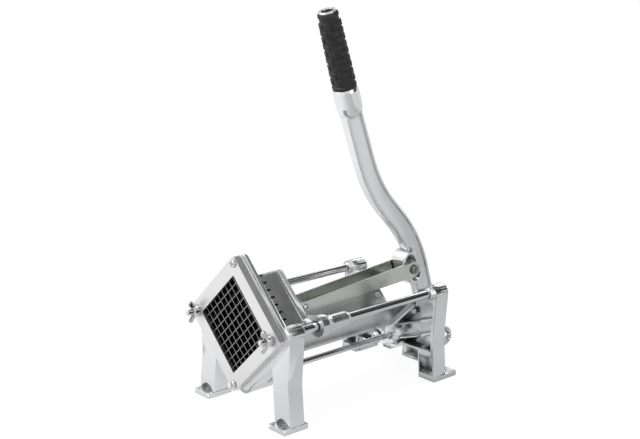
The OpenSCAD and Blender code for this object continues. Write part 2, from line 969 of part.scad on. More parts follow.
module lever() {
    color(cast_colour)
    translate(home)
    difference() {
        union() {
            difference() {
                side_view(-lever_width / 2, lever_width)
                    lever_band(0);
                // recessed side panels
                for (x = [lever_width / 2 - lever_recess, -lever_width / 2 - 10 + lever_recess])
                    side_view(x, 10)
                        lever_band(lever_rim);
            }
            side_view(-lever_hub / 2, lever_hub)
                slot_shape(slot_wall);
            side_view(-lever_width / 2, lever_width)
                translate([fulcrum_y, fulcrum_z])
                    circle(fulcrum_boss_radius);
            rod_x(fulcrum_y, fulcrum_z, -fulcrum_boss_width / 2, fulcrum_boss_width / 2, 10.5);
            on_grip_axis()
                rotate_extrude()
                    polygon([[0, -5], [8, -5], [12, -2], [13.8, 2], [socket_radius, 8],
                        [socket_radius, socket_length - 4], [13.6, socket_length], [0, socket_length]]);
        }
        side_view(-30, 60)
            slot_shape(0);
        rod_x(fulcrum_y, fulcrum_z, -30, 30, fulcrum_radius + 1.5 + fixed_gap);
        on_grip_axis()
            translate([0, 0, socket_length - 22])
                cylinder(h = 30, r = core_radius + running_gap);
    }
}

module lever_bush() {
    color(bronze_colour)
    translate(home)
    difference() {
        rod_x(fulcrum_y, fulcrum_z, -fulcrum_boss_width / 2, fulcrum_boss_width / 2, fulcrum_radius + 1.5);
        rod_x(fulcrum_y, fulcrum_z, -30, 30, fulcrum_radius + running_gap);
    }
}

module fulcrum_bolt() {
    color(steel_colour)
    translate(home)
    difference() {
        translate([arm_outer + 1.5 + eps, fulcrum_y, fulcrum_z])
            rotate([0, -90, 0])
                rotate_extrude()
                    polygon([[0, -4.4], [5.4, -4.4], [7.6, -2.6], [8.2, 0], [fulcrum_radius, 0],
                        [fulcrum_radius, 2 * arm_outer + 10], [0, 2 * arm_outer + 10]]);
        translate([arm_outer + 3.6, fulcrum_y, fulcrum_z])
            rotate([0, 90, 0])
                cylinder(h = 5, r = 3.4, $fn = 6);
    }
}

module fulcrum_washers() {
    color(steel_colour)
    translate(home)
    both_sides()
        difference() {
            rod_x(fulcrum_y, fulcrum_z, arm_outer + eps, arm_outer + 1.5, 10);
            rod_x(fulcrum_y, fulcrum_z, 0, 40, fulcrum_radius + 0.1);
        }
}

module fulcrum_nut() {
    color(steel_colour)
    translate(home)
    difference() {
        translate([-arm_outer - 7.5, fulcrum_y, fulcrum_z])
            rotate([0, 90, 0])
                cylinder(h = 6 - eps, r = 8.6, $fn = 6);
        rod_x(fulcrum_y, fulcrum_z, -40, 0, fulcrum_radius + fixed_gap);
    }
}

// ---- grip ----

module grip_core() {
    color(steel_colour)
    translate(home)
    on_grip_axis()
        translate([0, 0, socket_length - 21])
            difference() {
                cylinder(h = 21 + grip_length - 1, r = core_radius);
                translate([0, 0, 6])
                    cylinder(h = grip_length + 40, r = core_radius - 1.8);
            }
}

module grip() {
    base = grip_radius - 1.4;
    row_count = 9;
    row_pitch = (grip_length - 16) / row_count;
    color(rubber_colour)
    translate(home)
    on_grip_axis()
        translate([0, 0, socket_length + 0.05])
            difference() {
                union() {
                    rotate_extrude()
                        polygon([[core_radius + fixed_gap, 0], [base + 1.2, 0], [base + 1.4, 4], [base, 6],
                            [base - 1.6, grip_length - 6], [base - 0.6, grip_length - 4],
                            [base - 1.2, grip_length - 0.5], [core_radius + fixed_gap, grip_length - 0.5]]);
                    // staggered rows of raised pads
                    for (row = [0:row_count - 1])
                        translate([0, 0, 7 + row * row_pitch])
                            rotate([0, 0, row * 30])
                                intersection() {
                                    difference() {
                                        cylinder(h = row_pitch - 1.6, r = grip_radius - 0.14 * row);
                                        translate([0, 0, -1])
                                            cylinder(h = row_pitch + 2, r = core_radius + 2);
                                    }
                                    for (turn = [0, 60, 120])
                                        rotate([0, 0, turn])
                                            cube([40, 8.6, 3 * row_pitch], center = true);
                                }
                }
            }
}

module grip_end_ring() {
    color(steel_colour)
    translate(home)
    on_grip_axis()
        translate([0, 0, socket_length + grip_length - 0.4])
            rotate_extrude()
                polygon([[core_radius - 1.7, 0.02], [9.6, 0.02], [9.9, 0.8], [9.2, 1.8],
                    [core_radius - 1, 2], [core_radius - 1.7, 1.4]]);
}

front_frame();
rear_frame();
guide_rod_left();
guide_rod_right();
tie_rod();
tie_rod_nut();
rod_set_screws();
front_plate();
plate_screws();
blade_ring();
blades_rising();
blades_falling();
wing_studs();
stud_washers();
wing_nut_left();
wing_nut_right();
trough();
trough_screws();
trough_nuts();
finger_block();
block_screws();
carriage();
rod_bushes();
channel();
channel_screws();
channel_nuts();
drive_pin();
drive_pin_clip();
lever();
lever_bush();
fulcrum_bolt();
fulcrum_washers();
fulcrum_nut();
grip_core();
grip();
grip_end_ring();
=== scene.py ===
"""Looks of a lever operated fry cutter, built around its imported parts.

Everything is in metres in the parts' own frame: Z is up, the lever's fulcrum is at the
rear (+Y), the blade grid faces the front (-Y), and the origin is on the floor in the
middle of the four foot holes. Only what is carved into the two frames is in millimetres.
"""

import json
import math

import bmesh
import bpy
import numpy as np
from bpy.props import FloatProperty, FloatVectorProperty, IntProperty, PointerProperty
from mathutils import Matrix, Vector


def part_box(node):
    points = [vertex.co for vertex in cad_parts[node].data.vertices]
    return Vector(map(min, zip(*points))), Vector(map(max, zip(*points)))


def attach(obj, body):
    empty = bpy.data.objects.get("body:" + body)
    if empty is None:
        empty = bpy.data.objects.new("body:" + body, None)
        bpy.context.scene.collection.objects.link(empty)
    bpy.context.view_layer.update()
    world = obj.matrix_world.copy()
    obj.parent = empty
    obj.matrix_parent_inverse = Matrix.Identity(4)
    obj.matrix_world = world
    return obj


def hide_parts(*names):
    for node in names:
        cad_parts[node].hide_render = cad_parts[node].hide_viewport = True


bl_info = {
    "name": "Fry Cutter",
    "version": (1, 0, 0),
    "blender": (4, 5, 0),
    "location": "3D View > Sidebar > Fry Cutter",
    "description": "Finishes, rounded pieces and a white studio for a lever fry cutter",
    "category": "Add Mesh",
}

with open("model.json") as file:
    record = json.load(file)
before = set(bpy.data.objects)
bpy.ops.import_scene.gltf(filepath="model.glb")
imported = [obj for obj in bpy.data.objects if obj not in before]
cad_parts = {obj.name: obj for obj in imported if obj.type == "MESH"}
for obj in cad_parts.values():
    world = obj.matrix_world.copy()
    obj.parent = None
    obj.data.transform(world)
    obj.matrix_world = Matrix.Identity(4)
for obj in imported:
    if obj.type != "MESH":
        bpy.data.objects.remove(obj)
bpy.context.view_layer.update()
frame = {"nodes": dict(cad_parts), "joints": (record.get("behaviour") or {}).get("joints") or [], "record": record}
nodes = frame["nodes"]
record = frame["record"]
joints = {joint["name"]: joint for joint in frame["joints"]}
mounts = {mount["name"]: mount for mount in record["mounts"]}
MM = 0.001


# ---- sizes and colours ----


def colour(name, description, value):
    """A linear colour property."""
    return FloatVectorProperty(
        name=name, description=description, default=value, size=3, subtype="COLOR", min=0, max=1
    )


def number(name, description, value, **limits):
    """A plain number property with its limits."""
    return FloatProperty(name=name, description=description, default=value, **limits)


def length(name, description, value):
    """A length property in metres."""
    return FloatProperty(name=name, description=description, default=value, unit="LENGTH", min=0)


class FryCutterFinish(bpy.types.PropertyGroup):
    """Colours and surface values of the metals and the rubber."""

    casting: colour("Casting", "Polished cast aluminium", (0.80, 0.805, 0.815))
    plate: colour("Plate", "Satin ground front plate", (0.78, 0.78, 0.785))
    chrome: colour("Chrome", "Plated rods", (0.74, 0.745, 0.755))
    steel: colour("Fasteners", "Bright screws and nuts", (0.70, 0.70, 0.71))
    blade: colour("Blades", "Ground steel blades", (0.42, 0.42, 0.43))
    sheet: colour("Trough", "Rolled sheet metal", (0.66, 0.665, 0.67))
    zinc: colour("Channel", "Zinc coated channel", (0.66, 0.69, 0.65))
    bronze: colour("Bushes", "Oiled bronze", (0.42, 0.30, 0.15))
    rubber: colour("Rubber", "Moulded grip", (0.009, 0.009, 0.01))
    casting_roughness: number("Casting roughness", "How matt the castings are", 0.17, min=0, max=1)
    edge_radius: length("Edge radius", "Rounding of the castings' edges", 0.0006)


class FryCutterShape(bpy.types.PropertyGroup):
    """Sizes of the pieces that are rounded here."""

    pad_height: length("Pad height", "How far the grip's pads stand out", 0.0013)
    pad_rows: IntProperty(
        name="Pad rows", description="Rows of pads along the grip", default=9, min=3
    )
    wing_thickness: length("Wing thickness", "Thickness of a wing of a wing nut", 0.0026)
    rim_radius: length("Rim radius", "Rounding of the lever's outer edges", 0.0026)


class FryCutterStage(bpy.types.PropertyGroup):
    """Floor, lights and camera."""

    floor_size: length("Floor size", "Side of the square floor", 9.0)
    lens: number("Lens", "Focal length in millimetres", 70.385, min=20)
    sky: number("Sky", "Strength of the even light", 0.6, min=0)
    key: number("Key", "Power of the main lamp in watts", 16.0, min=0)
    fill: number("Fill", "Power of each other lamp in watts", 4.0, min=0)


# ---- materials ----


class Wiring:
    """Adds nodes to one node tree and links them."""

    def __init__(self, tree):
        self.tree = tree

    def add(self, kind, **values):
        """A node with its settings; a name that starts with in_ is one of its inputs."""
        node = self.tree.nodes.new(kind)
        for key, value in values.items():
            if key.startswith("in_"):
                node.inputs[key[3:].replace("_", " ")].default_value = value
            else:
                setattr(node, key, value)
        return node

    def link(self, source, target):
        """Connects an output to an input."""
        self.tree.links.new(source, target)

    def by_ray(self, kind, usual, special):
        """The shader special for one kind of ray, and usual for the rest."""
        path = self.add("ShaderNodeLightPath")
        both = self.add("ShaderNodeMixShader")
        self.link(path.outputs[kind], both.inputs["Fac"])
        self.link(usual, both.inputs[1])
        self.link(special, both.inputs[2])
        return both.outputs["Shader"]


class Finish(Wiring):
    """Builds one procedural material, its pattern read from Object coordinates."""

    def __init__(self, name):
        self.material = bpy.data.materials.new(name)
        self.material.use_nodes = True
        super().__init__(self.material.node_tree)
        self.shader = self.tree.nodes["Principled BSDF"]
        self.place = self.add("ShaderNodeTexCoord").outputs["Object"]

    def stretched(self, scale):
        """Object coordinates, scaled per axis."""
        node = self.add("ShaderNodeMapping", in_Scale=scale)
        self.link(self.place, node.inputs["Vector"])
        return node.outputs["Vector"]

    def noise(self, scale, detail, place=None):
        """Smooth random pattern; scale is in features per metre."""
        node = self.add("ShaderNodeTexNoise", in_Scale=scale, in_Detail=detail, in_Roughness=0.55)
        self.link(place or self.place, node.inputs["Vector"])
        return node.outputs["Fac"]

    def ranged(self, source, low, high, start=0.3, stop=0.7):
        """source from start to stop, mapped to low to high."""
        node = self.add("ShaderNodeMapRange", in_From_Min=start, in_From_Max=stop)
        node.inputs["To Min"].default_value = low
        node.inputs["To Max"].default_value = high
        self.link(source, node.inputs["Value"])
        return node.outputs["Result"]

    def blend(self, factor, first, second):
        """Colour mixed from first to second by factor."""
        node = self.add("ShaderNodeMix", data_type="RGBA")
        self.link(factor, node.inputs["Factor"])
        for value, slot in ((first, node.inputs["A"]), (second, node.inputs["B"])):
            if isinstance(value, bpy.types.NodeSocket):
                self.link(value, slot)
            else:
                slot.default_value = (*value, 1)
        return node.outputs["Result"]

    def bump(self, height, distance, strength, below=None):
        """Normal from a height pattern, distance in metres, over another normal."""
        node = self.add("ShaderNodeBump", in_Strength=strength, in_Distance=distance)
        self.link(height, node.inputs["Height"])
        if below is not None:
            self.link(below, node.inputs["Normal"])
        return node.outputs["Normal"]

    def painted_shade_and_dull(self, base, rough, dark=0.3, dull=0.42, reach=0.011):
        """Colour and roughness of a recess: the colour falls to its share dark as painted shade and the
        roughness goes to dull where no buffing wheel reaches, as less open air is seen within reach."""
        near = self.add("ShaderNodeAmbientOcclusion", samples=8, in_Distance=reach)
        least_air, most_air = 0.22, 0.8
        open_air = self.ranged(near.outputs["AO"], 0, 1, least_air, most_air)
        # painted shade: the colour is multiplied down towards dark where little open air is seen
        shaded = self.add("ShaderNodeMix", data_type="RGBA", blend_type="MULTIPLY", in_Factor=1.0)
        self.link(base, shaded.inputs["A"])
        self.link(self.blend(open_air, (dark,) * 3, (1, 1, 1)), shaded.inputs["B"])
        # the roughness dulls in the same recesses, as-cast where no buffing wheel reaches
        duller = self.add("ShaderNodeMix", data_type="FLOAT")
        self.link(open_air, duller.inputs["Factor"])
        duller.inputs["A"].default_value = dull
        self.link(rough, duller.inputs["B"])
        return shaded.outputs["Result"], duller.outputs["Result"]

    def round_edges(self, radius):
        """Normal that turns over an edge, as on a tumbled or polished piece."""
        return self.add("ShaderNodeBevel", samples=6, in_Radius=radius).outputs["Normal"]

    def done(self, metallic, base, roughness, normal):
        """Connects the patterns to the shader and gives the material."""
        self.shader.inputs["Metallic"].default_value = metallic
        for source, name in ((base, "Base Color"), (roughness, "Roughness"), (normal, "Normal")):
            self.link(source, self.shader.inputs[name])
        return self.material


def shade(value, factor):
    """A colour made darker or lighter by factor."""
    return tuple(min(1.0, c * factor) for c in value)


def casting_finish(name, tint, roughness, edge, dark=0.3):
    """Polished casting: slow waviness, a faint grain and slightly duller patches; dark says
    how much of its brightness is left in recesses, where shade is painted."""
    f = Finish(name)
    slow = f.noise(38, 1)
    grain = f.noise(900, 3)
    patch = f.noise(55, 3)
    base = f.blend(f.ranged(patch, 0, 1), shade(tint, 0.97), shade(tint, 1.01))
    rough = f.ranged(patch, roughness * 0.8, roughness * 1.25)
    normal = f.bump(grain, 0.00002, 0.25, f.bump(slow, 0.0012, 0.14, f.round_edges(edge)))
    # recesses get painted shade and a duller roughness
    return f.done(1.0, *f.painted_shade_and_dull(base, rough, dark), normal)


def ground_finish(name, tint, roughness, scale, edge):
    """Satin ground surface: fine scratches in one direction, by its scale per axis."""
    f = Finish(name)
    scratch = f.noise(1, 4, f.stretched(scale))
    cloud = f.noise(30, 3)
    base = f.blend(f.ranged(scratch, 0, 1), shade(tint, 0.96), shade(tint, 1.02))
    rough = f.ranged(cloud, roughness * 0.9, roughness * 1.15)
    normal = f.bump(scratch, 0.00003, 0.3, f.round_edges(edge))
    # recesses get painted shade and a duller roughness
    return f.done(1.0, *f.painted_shade_and_dull(base, rough, dark=0.45), normal)


def blade_finish(name, tint):
    """Blade steel: the ground front edges light, the sides drawn lengthways and painted far darker
    by which way they look, as shade between the blades.
    """
    f = Finish(name)
    facing = f.add("ShaderNodeSeparateXYZ")
    f.link(f.add("ShaderNodeNewGeometry").outputs["True Normal"], facing.inputs["Vector"])
    # painted shade: faces that do not look to the front are painted dark
    edge = f.ranged(facing.outputs["Y"], 1, 0, -0.95, -0.6)
    scratch = f.noise(1, 4, f.stretched((900, 40, 900)))
    side = f.blend(f.ranged(scratch, 0, 1), shade(tint, 0.16), shade(tint, 0.26))
    base = f.blend(edge, side, shade(tint, 0.72))
    return f.done(1.0, base, f.ranged(scratch, 0.25, 0.4), f.bump(scratch, 0.00004, 0.5))


def plated_finish(name, tint, roughness, edge=0.0004):
    """Bright plating: a clean mirror with faint wipe marks."""
    f = Finish(name)
    wipe = f.noise(180, 4)
    base = f.blend(f.ranged(wipe, 0, 1), shade(tint, 0.95), tint)
    rough = f.ranged(wipe, roughness * 0.6, roughness * 1.6)
    # recesses get painted shade and a duller roughness
    hollowed = f.painted_shade_and_dull(base, rough, dark=0.3, dull=0.3, reach=0.006)
    return f.done(1.0, *hollowed, f.round_edges(edge))


def zinc_finish(name, tint):
    """Zinc coat: slow waves that bend the reflections, and faint clouds in the coat."""
    f = Finish(name)
    cloud = f.noise(1, 3, f.stretched((70, 18, 70)))
    base = f.blend(f.ranged(cloud, 0, 1), shade(tint, 0.95), shade(tint, 1.03))
    rough = f.ranged(cloud, 0.2, 0.28)
    normal = f.bump(f.noise(26, 1), 0.0016, 0.2, f.round_edges(0.0006))
    # recesses get painted shade and a duller roughness
    return f.done(1.0, *f.painted_shade_and_dull(base, rough, dark=0.4, dull=0.35, reach=0.02), normal)


def rubber_finish(name, tint):
    """Moulded rubber: matt, with a fine grain and rubbed patches."""
    f = Finish(name)
    grain = f.noise(2600, 3)
    rubbed = f.noise(120, 3)
    base = f.blend(f.ranged(rubbed, 0, 1), tint, shade(tint, 1.9))
    return f.done(0.0, base, f.ranged(rubbed, 0.62, 0.42), f.bump(grain, 0.00008, 0.5))


def coat(material, *names):
    """Puts one material on CAD nodes."""
    for name in names:
        mesh = nodes[name].data
        mesh.materials.clear()
        mesh.materials.append(material)


# ---- surfaces ----

# points on a rounded corner, and how sharply faces meet where new pieces and copies of CAD
# nodes are creased
CORNER_STEPS = 5
CREASE = math.radians(35)
COPY_CREASE = math.radians(33)


class Shells:
    """Closed surfaces, each a grid of points, gathered into one mesh."""

    def __init__(self):
        self.points = []
        self.faces = []
        self.count = 0

    def keep(self, points, blocks):
        """Adds one closed surface, its faces turned outward by the sign of its volume."""
        flat = points.reshape(-1, 3)
        volume = 0.0
        for block in blocks:
            corner = flat[block]
            for i in range(1, block.shape[1] - 1):
                volume += np.sum(corner[:, 0] * np.cross(corner[:, i], corner[:, i + 1]))
        for block in blocks:
            turned = block[:, ::-1] if volume < 0 else block
            self.faces += (turned + self.count).tolist()
        self.points.append(flat)
        self.count += len(flat)

    def ring(self, points):
        """A surface that closes on itself along both directions of its grid."""
        n = np.arange(points.shape[0] * points.shape[1]).reshape(points.shape[:2])
        right, below = np.roll(n, -1, 1), np.roll(n, -1, 0)
        self.keep(points, [np.stack([n, right, np.roll(right, -1, 0), below], -1).reshape(-1, 4)])

    def bar(self, points):
        """Rows of a closed outline whose second half mirrors the first, joined end to end.
        Each end is closed by strips between the two halves."""
        rows, around = points.shape[:2]
        half = around // 2
        n = np.arange(rows * around).reshape(rows, around)
        right = np.roll(n, -1, 1)
        blocks = [np.stack([n[:-1], right[:-1], right[1:], n[1:]], -1).reshape(-1, 4)]
        k = np.arange(1, half - 1)
        corners = np.array([[0, 1, -1], [half + 1, half - 1, half]])
        for row, step in ((n[0], -1), (n[-1], 1)):
            strip = np.stack([row[k], row[k + 1], row[around - k - 1], row[around - k]], -1)
            blocks += [strip[:, ::step], row[corners][:, ::step]]
        self.keep(points, blocks)

    def mesh(self, name, material):
        """One object with smooth faces, creased where they meet more sharply."""
        data = bpy.data.meshes.new(name)
        data.from_pydata(np.concatenate(self.points).tolist(), [], self.faces)
        data.polygons.foreach_set("use_smooth", np.ones(len(data.polygons), bool))
        data.set_sharp_from_angle(angle=CREASE)
        data.materials.append(material)
        return placed(name, data)


def placed(name, data):
    """An object of a mesh, in the scene."""
    piece = bpy.data.objects.new(name, data)
    bpy.context.scene.collection.objects.link(piece)
    return piece


def rounded(corners):
    """A closed outline with its corners rounded: at each corner (x, y, radius) an arc that
    touches both sides, its middle on the line that halves the corner."""
    spots = np.array([c[:2] for c in corners])
    t = np.linspace(0, 1, CORNER_STEPS)[:, None]
    outline = []
    for i, corner in enumerate(corners):
        here, radius = spots[i], corner[2]
        beside = (spots[i - 1], spots[(i + 1) % len(spots)])
        ways = [(spot - here) / np.linalg.norm(spot - here) for spot in beside]
        inward = (ways[0] + ways[1]) / np.linalg.norm(ways[0] + ways[1])
        half = math.acos(max(-1.0, min(1.0, float(ways[0] @ ways[1])))) / 2
        start, stop = (here + w * radius / math.tan(half) for w in ways)
        middle = here + inward * radius / math.sin(half)
        spokes = (start - middle) * (1 - t) + (stop - middle) * t
        outline.append(middle + spokes / np.linalg.norm(spokes, axis=1, keepdims=True) * radius)
    return np.concatenate(outline)


def spun(outline, steps=72):
    """A closed outline of (radius, height) turned about the Z axis."""
    turn = np.linspace(0, 2 * math.pi, steps, endpoint=False)[:, None]
    radius, height = outline[:, 0][None], outline[:, 1][None]
    return np.stack([radius * np.cos(turn), radius * np.sin(turn), height + 0 * turn], -1)


def on_axis(points, place, lean):
    """Points drawn along Z moved to place and leaned forward (towards -Y) by lean."""
    c, s = math.cos(lean), math.sin(lean)
    x, y, z = points[..., 0], points[..., 1], points[..., 2]
    return np.stack([x, c * y - s * z, s * y + c * z], -1) + np.array(place)


def along_x(points, place):
    """Points drawn about Z turned to lie about X, at place."""
    return np.stack([points[..., 2], points[..., 0], points[..., 1]], -1) + np.array(place)


def square_to(way):
    """A direction in a plane, a quarter turn on."""
    return np.array([-way[1], way[0]])


# ---- the lever ----

# places in (Y, Z): the fulcrum, the drive pin, the upper end of the bend to the rear, and
# the point whose line to the fulcrum gives the lowest straight its lean
FULCRUM = np.array(joints["lever_hinge"]["pos_m"][1:])
PIN = np.array([0.122, 0.114])
BEND_TOP = np.array([0.0483, 0.250])
LOW_AIM = np.array([0.1415, 0.110])
# the middle line leans forward by these angles above, between and below its two bends, and
# the grip by an angle of its own
LEAN_TOP, LEAN_MIDDLE = math.radians(21.0), math.radians(44.0)
LEAN_LOW = math.atan2(FULCRUM[0] - LOW_AIM[0], LOW_AIM[1] - FULCRUM[1])
GRIP_LEAN = math.radians(18.5)
TOP_LENGTH, MIDDLE_LENGTH = 0.062, 0.0264
BEND_RADIUS, BEND_STEPS = 0.168, 60
LINE_POINTS = 400

# the bar's I shaped section, and the circle that ends it at the fulcrum
LEVER_WIDTH, LEVER_DEPTH = 0.014, 0.024
RIM, RIM_SLOPE, RECESS = 0.0036, 0.0006, 0.003
RIM_EDGE, RECESS_EDGE = 0.0008, 0.0009
BAR_END = 0.009
BAR_ROWS = 260

# the slot that the pin runs in and the raised rim round it; the slot's middle lies a little
# behind the line from the fulcrum to the pin
SLOT_HALF_LENGTH, SLOT_RADIUS, SLOT_SHIFT = 0.0183, 0.0071, 0.00203
HUB_WALL, HUB_HALF_WIDTH = 0.0044, 0.010
SLOT_EDGE, HUB_EDGE = 0.0006, 0.0018
HUB_STEPS = 28

# turned outlines have corners (radius, height, rounding) about their axis
BOSS = ((0.00652, -0.0095, 0.0002), (0.00652, 0.0095, 0.0002), (0.0105, 0.0095, 0.0008),
        (0.0105, 0.0072, 0.0004), (0.013, 0.007, 0.0012), (0.013, -0.007, 0.0012),
        (0.0105, -0.0072, 0.0004), (0.0105, -0.0095, 0.0008))
SOCKET = ((0.001, -0.005, 0.0002), (0.008, -0.005, 0.001), (0.012, -0.002, 0.001),
          (0.0138, 0.002, 0.001), (0.0146, 0.008, 0.002), (0.0146, 0.0255, 0.0012),
          (0.0138, 0.029, 0.0006), (0.00805, 0.029, 0.0004), (0.00805, 0.007, 0.0002),
          (0.001, 0.007, 0.0002))
SOCKET_STEPS = 96


def ray(lean):
    """The direction (Y, Z) across the lever's line, to the rear, where it leans by lean."""
    return np.stack([np.cos(lean), np.sin(lean)], -1)


def lever_top():
    """The upper end (Y, Z) of the lever's middle line, where the grip's axis begins."""
    return BEND_TOP + TOP_LENGTH * square_to(ray(LEAN_TOP))


def lever_line():
    """The lever's middle line from the socket down to the fulcrum: a straight, a bend to the
    rear, a straight, a bend back and a straight. Gives the length from the top at even steps,
    and (Y, Z, lean) there."""
    first = np.linspace(LEAN_TOP, LEAN_MIDDLE, BEND_STEPS)
    second = np.linspace(LEAN_MIDDLE, LEAN_LOW, BEND_STEPS)
    upper = BEND_TOP + BEND_RADIUS * (ray(LEAN_TOP) - ray(first))
    lower_top = upper[-1] - MIDDLE_LENGTH * square_to(ray(LEAN_MIDDLE))
    lower = lower_top + BEND_RADIUS * (ray(second) - ray(LEAN_MIDDLE))
    spots = np.concatenate([[lever_top()], upper, lower, [FULCRUM]])
    leans = np.concatenate([[LEAN_TOP], first, second, [LEAN_LOW]])
    down = np.concatenate([[0], np.cumsum(np.linalg.norm(np.diff(spots, axis=0), axis=1))])
    even = np.linspace(0, down[-1], LINE_POINTS)
    return even, np.stack([np.interp(even, down, column) for column in (*spots.T, leans)], -1)


def on_line(where, aside, x):
    """Points at a length along the lever's middle line, aside of it and out along X."""
    down, line = lever_line()
    y, z, lean = (np.interp(where, down, column) for column in line.T)
    return np.stack([x + 0 * y, y + aside * np.cos(lean), z + aside * np.sin(lean)], -1)


def line_place(spot):
    """How far along the lever's middle line a point (Y, Z) is, and how far aside."""
    down, line = lever_line()
    i = int(np.argmin(np.linalg.norm(line[:, :2] - spot, axis=1)))
    return down[i], float((spot - line[i, :2]) @ ray(line[i, 2]))


def arched(across, centre, radius):
    """Height of a circle, its radius and centre given, at each distance across."""
    return np.sqrt(np.maximum(radius**2 - (across - centre) ** 2, 0.0))


def bar_outline(rim_radius):
    """The bar's section as (aside, out): rims along both edges, the side between them
    recessed. It starts at the front edge's middle, and its second half mirrors the first."""
    out, front = LEVER_WIDTH / 2, -LEVER_DEPTH / 2
    quarter = [
        (front, out, rim_radius),
        (front + RIM, out, RIM_EDGE),
        (front + RIM + RIM_SLOPE, out - RECESS, RECESS_EDGE),
    ]
    half = quarter + [(-u, x, r) for u, x, r in quarter[::-1]]
    right = rounded(half + [(u, -x, r) for u, x, r in half[::-1]])[: CORNER_STEPS * len(half)]
    return np.concatenate([[[front, 0.0]], right, [[-front, 0.0]], right[::-1] * [1, -1]])


def lever_surface(rim_radius):
    """The lever: its outline carried along the middle line, the front edge pushed to the rear
    where the hub is; a stadium hub round the slot, a stepped boss and the socket."""
    outline = bar_outline(rim_radius)
    aside, out = outline[:, 0], outline[:, 1]
    axis = (PIN - FULCRUM) / np.linalg.norm(PIN - FULCRUM)
    middle = PIN - SLOT_SHIFT * square_to(axis)
    reach = SLOT_HALF_LENGTH - SLOT_RADIUS
    tips = np.array(sorted(line_place(middle + side * reach * axis) for side in (-1, 1)))
    total = lever_line()[0][-1]
    share = np.linspace(0, 1, BAR_ROWS)[:, None]
    where = share * (total - arched(aside, 0.0, BAR_END))[None]
    near = np.clip(share * total, *tips[:, 0])
    hub = np.interp(near, *tips.T) + arched(share * total, near, SLOT_RADIUS + HUB_WALL / 2)
    pushed = np.where(aside[None] < 0, np.maximum(hub + LEVER_DEPTH / 2, 0), 0)
    shells = Shells()
    shells.bar(on_line(where, aside[None] + pushed, out[None]))
    shells.ring(hub_surface(middle, axis, reach))
    shells.ring(along_x(spun(rounded(BOSS)), (0, *FULCRUM)))
    shells.ring(on_axis(spun(rounded(SOCKET), SOCKET_STEPS), (0, *lever_top()), GRIP_LEAN))
    return shells


def hub_surface(middle, axis, reach):
    """A rounded rectangle carried round a stadium: the raised rim of the lever's slot."""
    ends = ((-90, 90), (90, 270))
    turn = np.radians(np.concatenate([np.linspace(*end, HUB_STEPS) for end in ends]))[:, None]
    shift = np.repeat([reach, -reach], HUB_STEPS)[:, None]
    outer, w = SLOT_RADIUS + HUB_WALL, HUB_HALF_WIDTH
    inner_corners = [(SLOT_RADIUS, -w, SLOT_EDGE), (SLOT_RADIUS, w, SLOT_EDGE)]
    outer_corners = [(outer, w, HUB_EDGE), (outer, -w, HUB_EDGE)]
    radius, x = rounded(inner_corners + outer_corners).T[:, None]
    along = shift + radius * np.cos(turn)
    across = radius * np.sin(turn)
    flat = middle + along[..., None] * axis + across[..., None] * square_to(axis)
    return np.concatenate([np.broadcast_to(x, along.shape)[..., None], flat], -1)


# ---- the grip ----

# along the grip's axis: where it starts above the lever's top, its length, where the rows of
# pads start and end, and the stretch outside which nothing is raised
GRIP_START, GRIP_LENGTH = 0.02905, 0.0855
PADS_START, PADS_END = 0.007, 0.077
RAISED_START, RAISED_END = 0.0062, 0.0785
GRIP_BORE, GRIP_EDGE = 0.00802, 0.0006
# the sleeve as (height, radius), with a band at each end
SLEEVE = np.array([(0, 0.0133), (0.0036, 0.0136), (0.005, 0.0122), (0.080, 0.0106), (0.082, 0.0116),
                   (GRIP_LENGTH, 0.0110)])
# pads: how many around, the radius that their height is added to, how much lower each row
# is than the one before, half a pad's width, half the groove between two rows, and how wide
# the slope is at a pad's sides and at its ends
PADS_AROUND = 6
PAD_RADIUS, PAD_TAPER = 0.0122, 0.00014
PAD_HALF_WIDTH, HALF_GROOVE = 0.0043, 0.0008
SIDE_SLOPE, END_SLOPE = 0.0016, 0.0012
GRIP_RINGS, GRIP_STEPS = 260, 216


def soft_step(distance, half, edge):
    """1 inside half, 0 outside, with a smooth edge."""
    t = np.clip((half - np.abs(distance)) / edge + 0.5, 0, 1)
    return t * t * (3 - 2 * t)


def grip_surface(rows, height):
    """The grip: a sleeve that tapers to its end, r(turn, z) raised by staggered rows of
    rounded pads, with a smooth band at each end."""
    z = np.linspace(0, GRIP_LENGTH, GRIP_RINGS)
    sleeve = np.interp(z, *SLEEVE.T)
    turn = np.linspace(0, 2 * math.pi, GRIP_STEPS, endpoint=False)
    pitch = (PADS_END - PADS_START) / rows
    row = np.clip(np.floor((z - PADS_START) / pitch), 0, rows - 1)
    into = z - PADS_START - (row + 0.5) * pitch + HALF_GROOVE
    raised = (z > RAISED_START) * (z < RAISED_END)
    along = soft_step(into, pitch / 2 - HALF_GROOVE, END_SLOPE) * raised
    half_turn = math.pi / PADS_AROUND
    offset = turn[None] - half_turn * row[:, None]
    near = (offset + half_turn) % (2 * half_turn) - half_turn
    pads = along[:, None] * soft_step(near * sleeve[:, None], PAD_HALF_WIDTH, SIDE_SLOPE)
    top = PAD_RADIUS + height - PAD_TAPER * row
    radius = sleeve[:, None] + (top - sleeve)[:, None] * pads
    bore = np.full((1, GRIP_STEPS), GRIP_BORE)
    start, end = (sleeve[k, None] - GRIP_EDGE + 0 * bore for k in (0, -1))
    radius = np.concatenate([bore, start, radius, end, bore])
    z = z + GRIP_EDGE * (z < GRIP_EDGE) - GRIP_EDGE * (z > GRIP_LENGTH - GRIP_EDGE)
    z = np.concatenate([[0, 0], z, [GRIP_LENGTH] * 2])[:, None] + 0 * radius
    return np.stack([radius * np.cos(turn), radius * np.sin(turn), z], -1)


# ---- wing nuts ----

# the middles of a wing's root and tip in (Y, Z) from where the nut's axis meets the front
# plate, with their radii
WING_ROOT, WING_TIP = np.array([-0.0042, 0.0032]), np.array([-0.0096, 0.0088])
ROOT_RADIUS, TIP_RADIUS = 0.0026, 0.0035
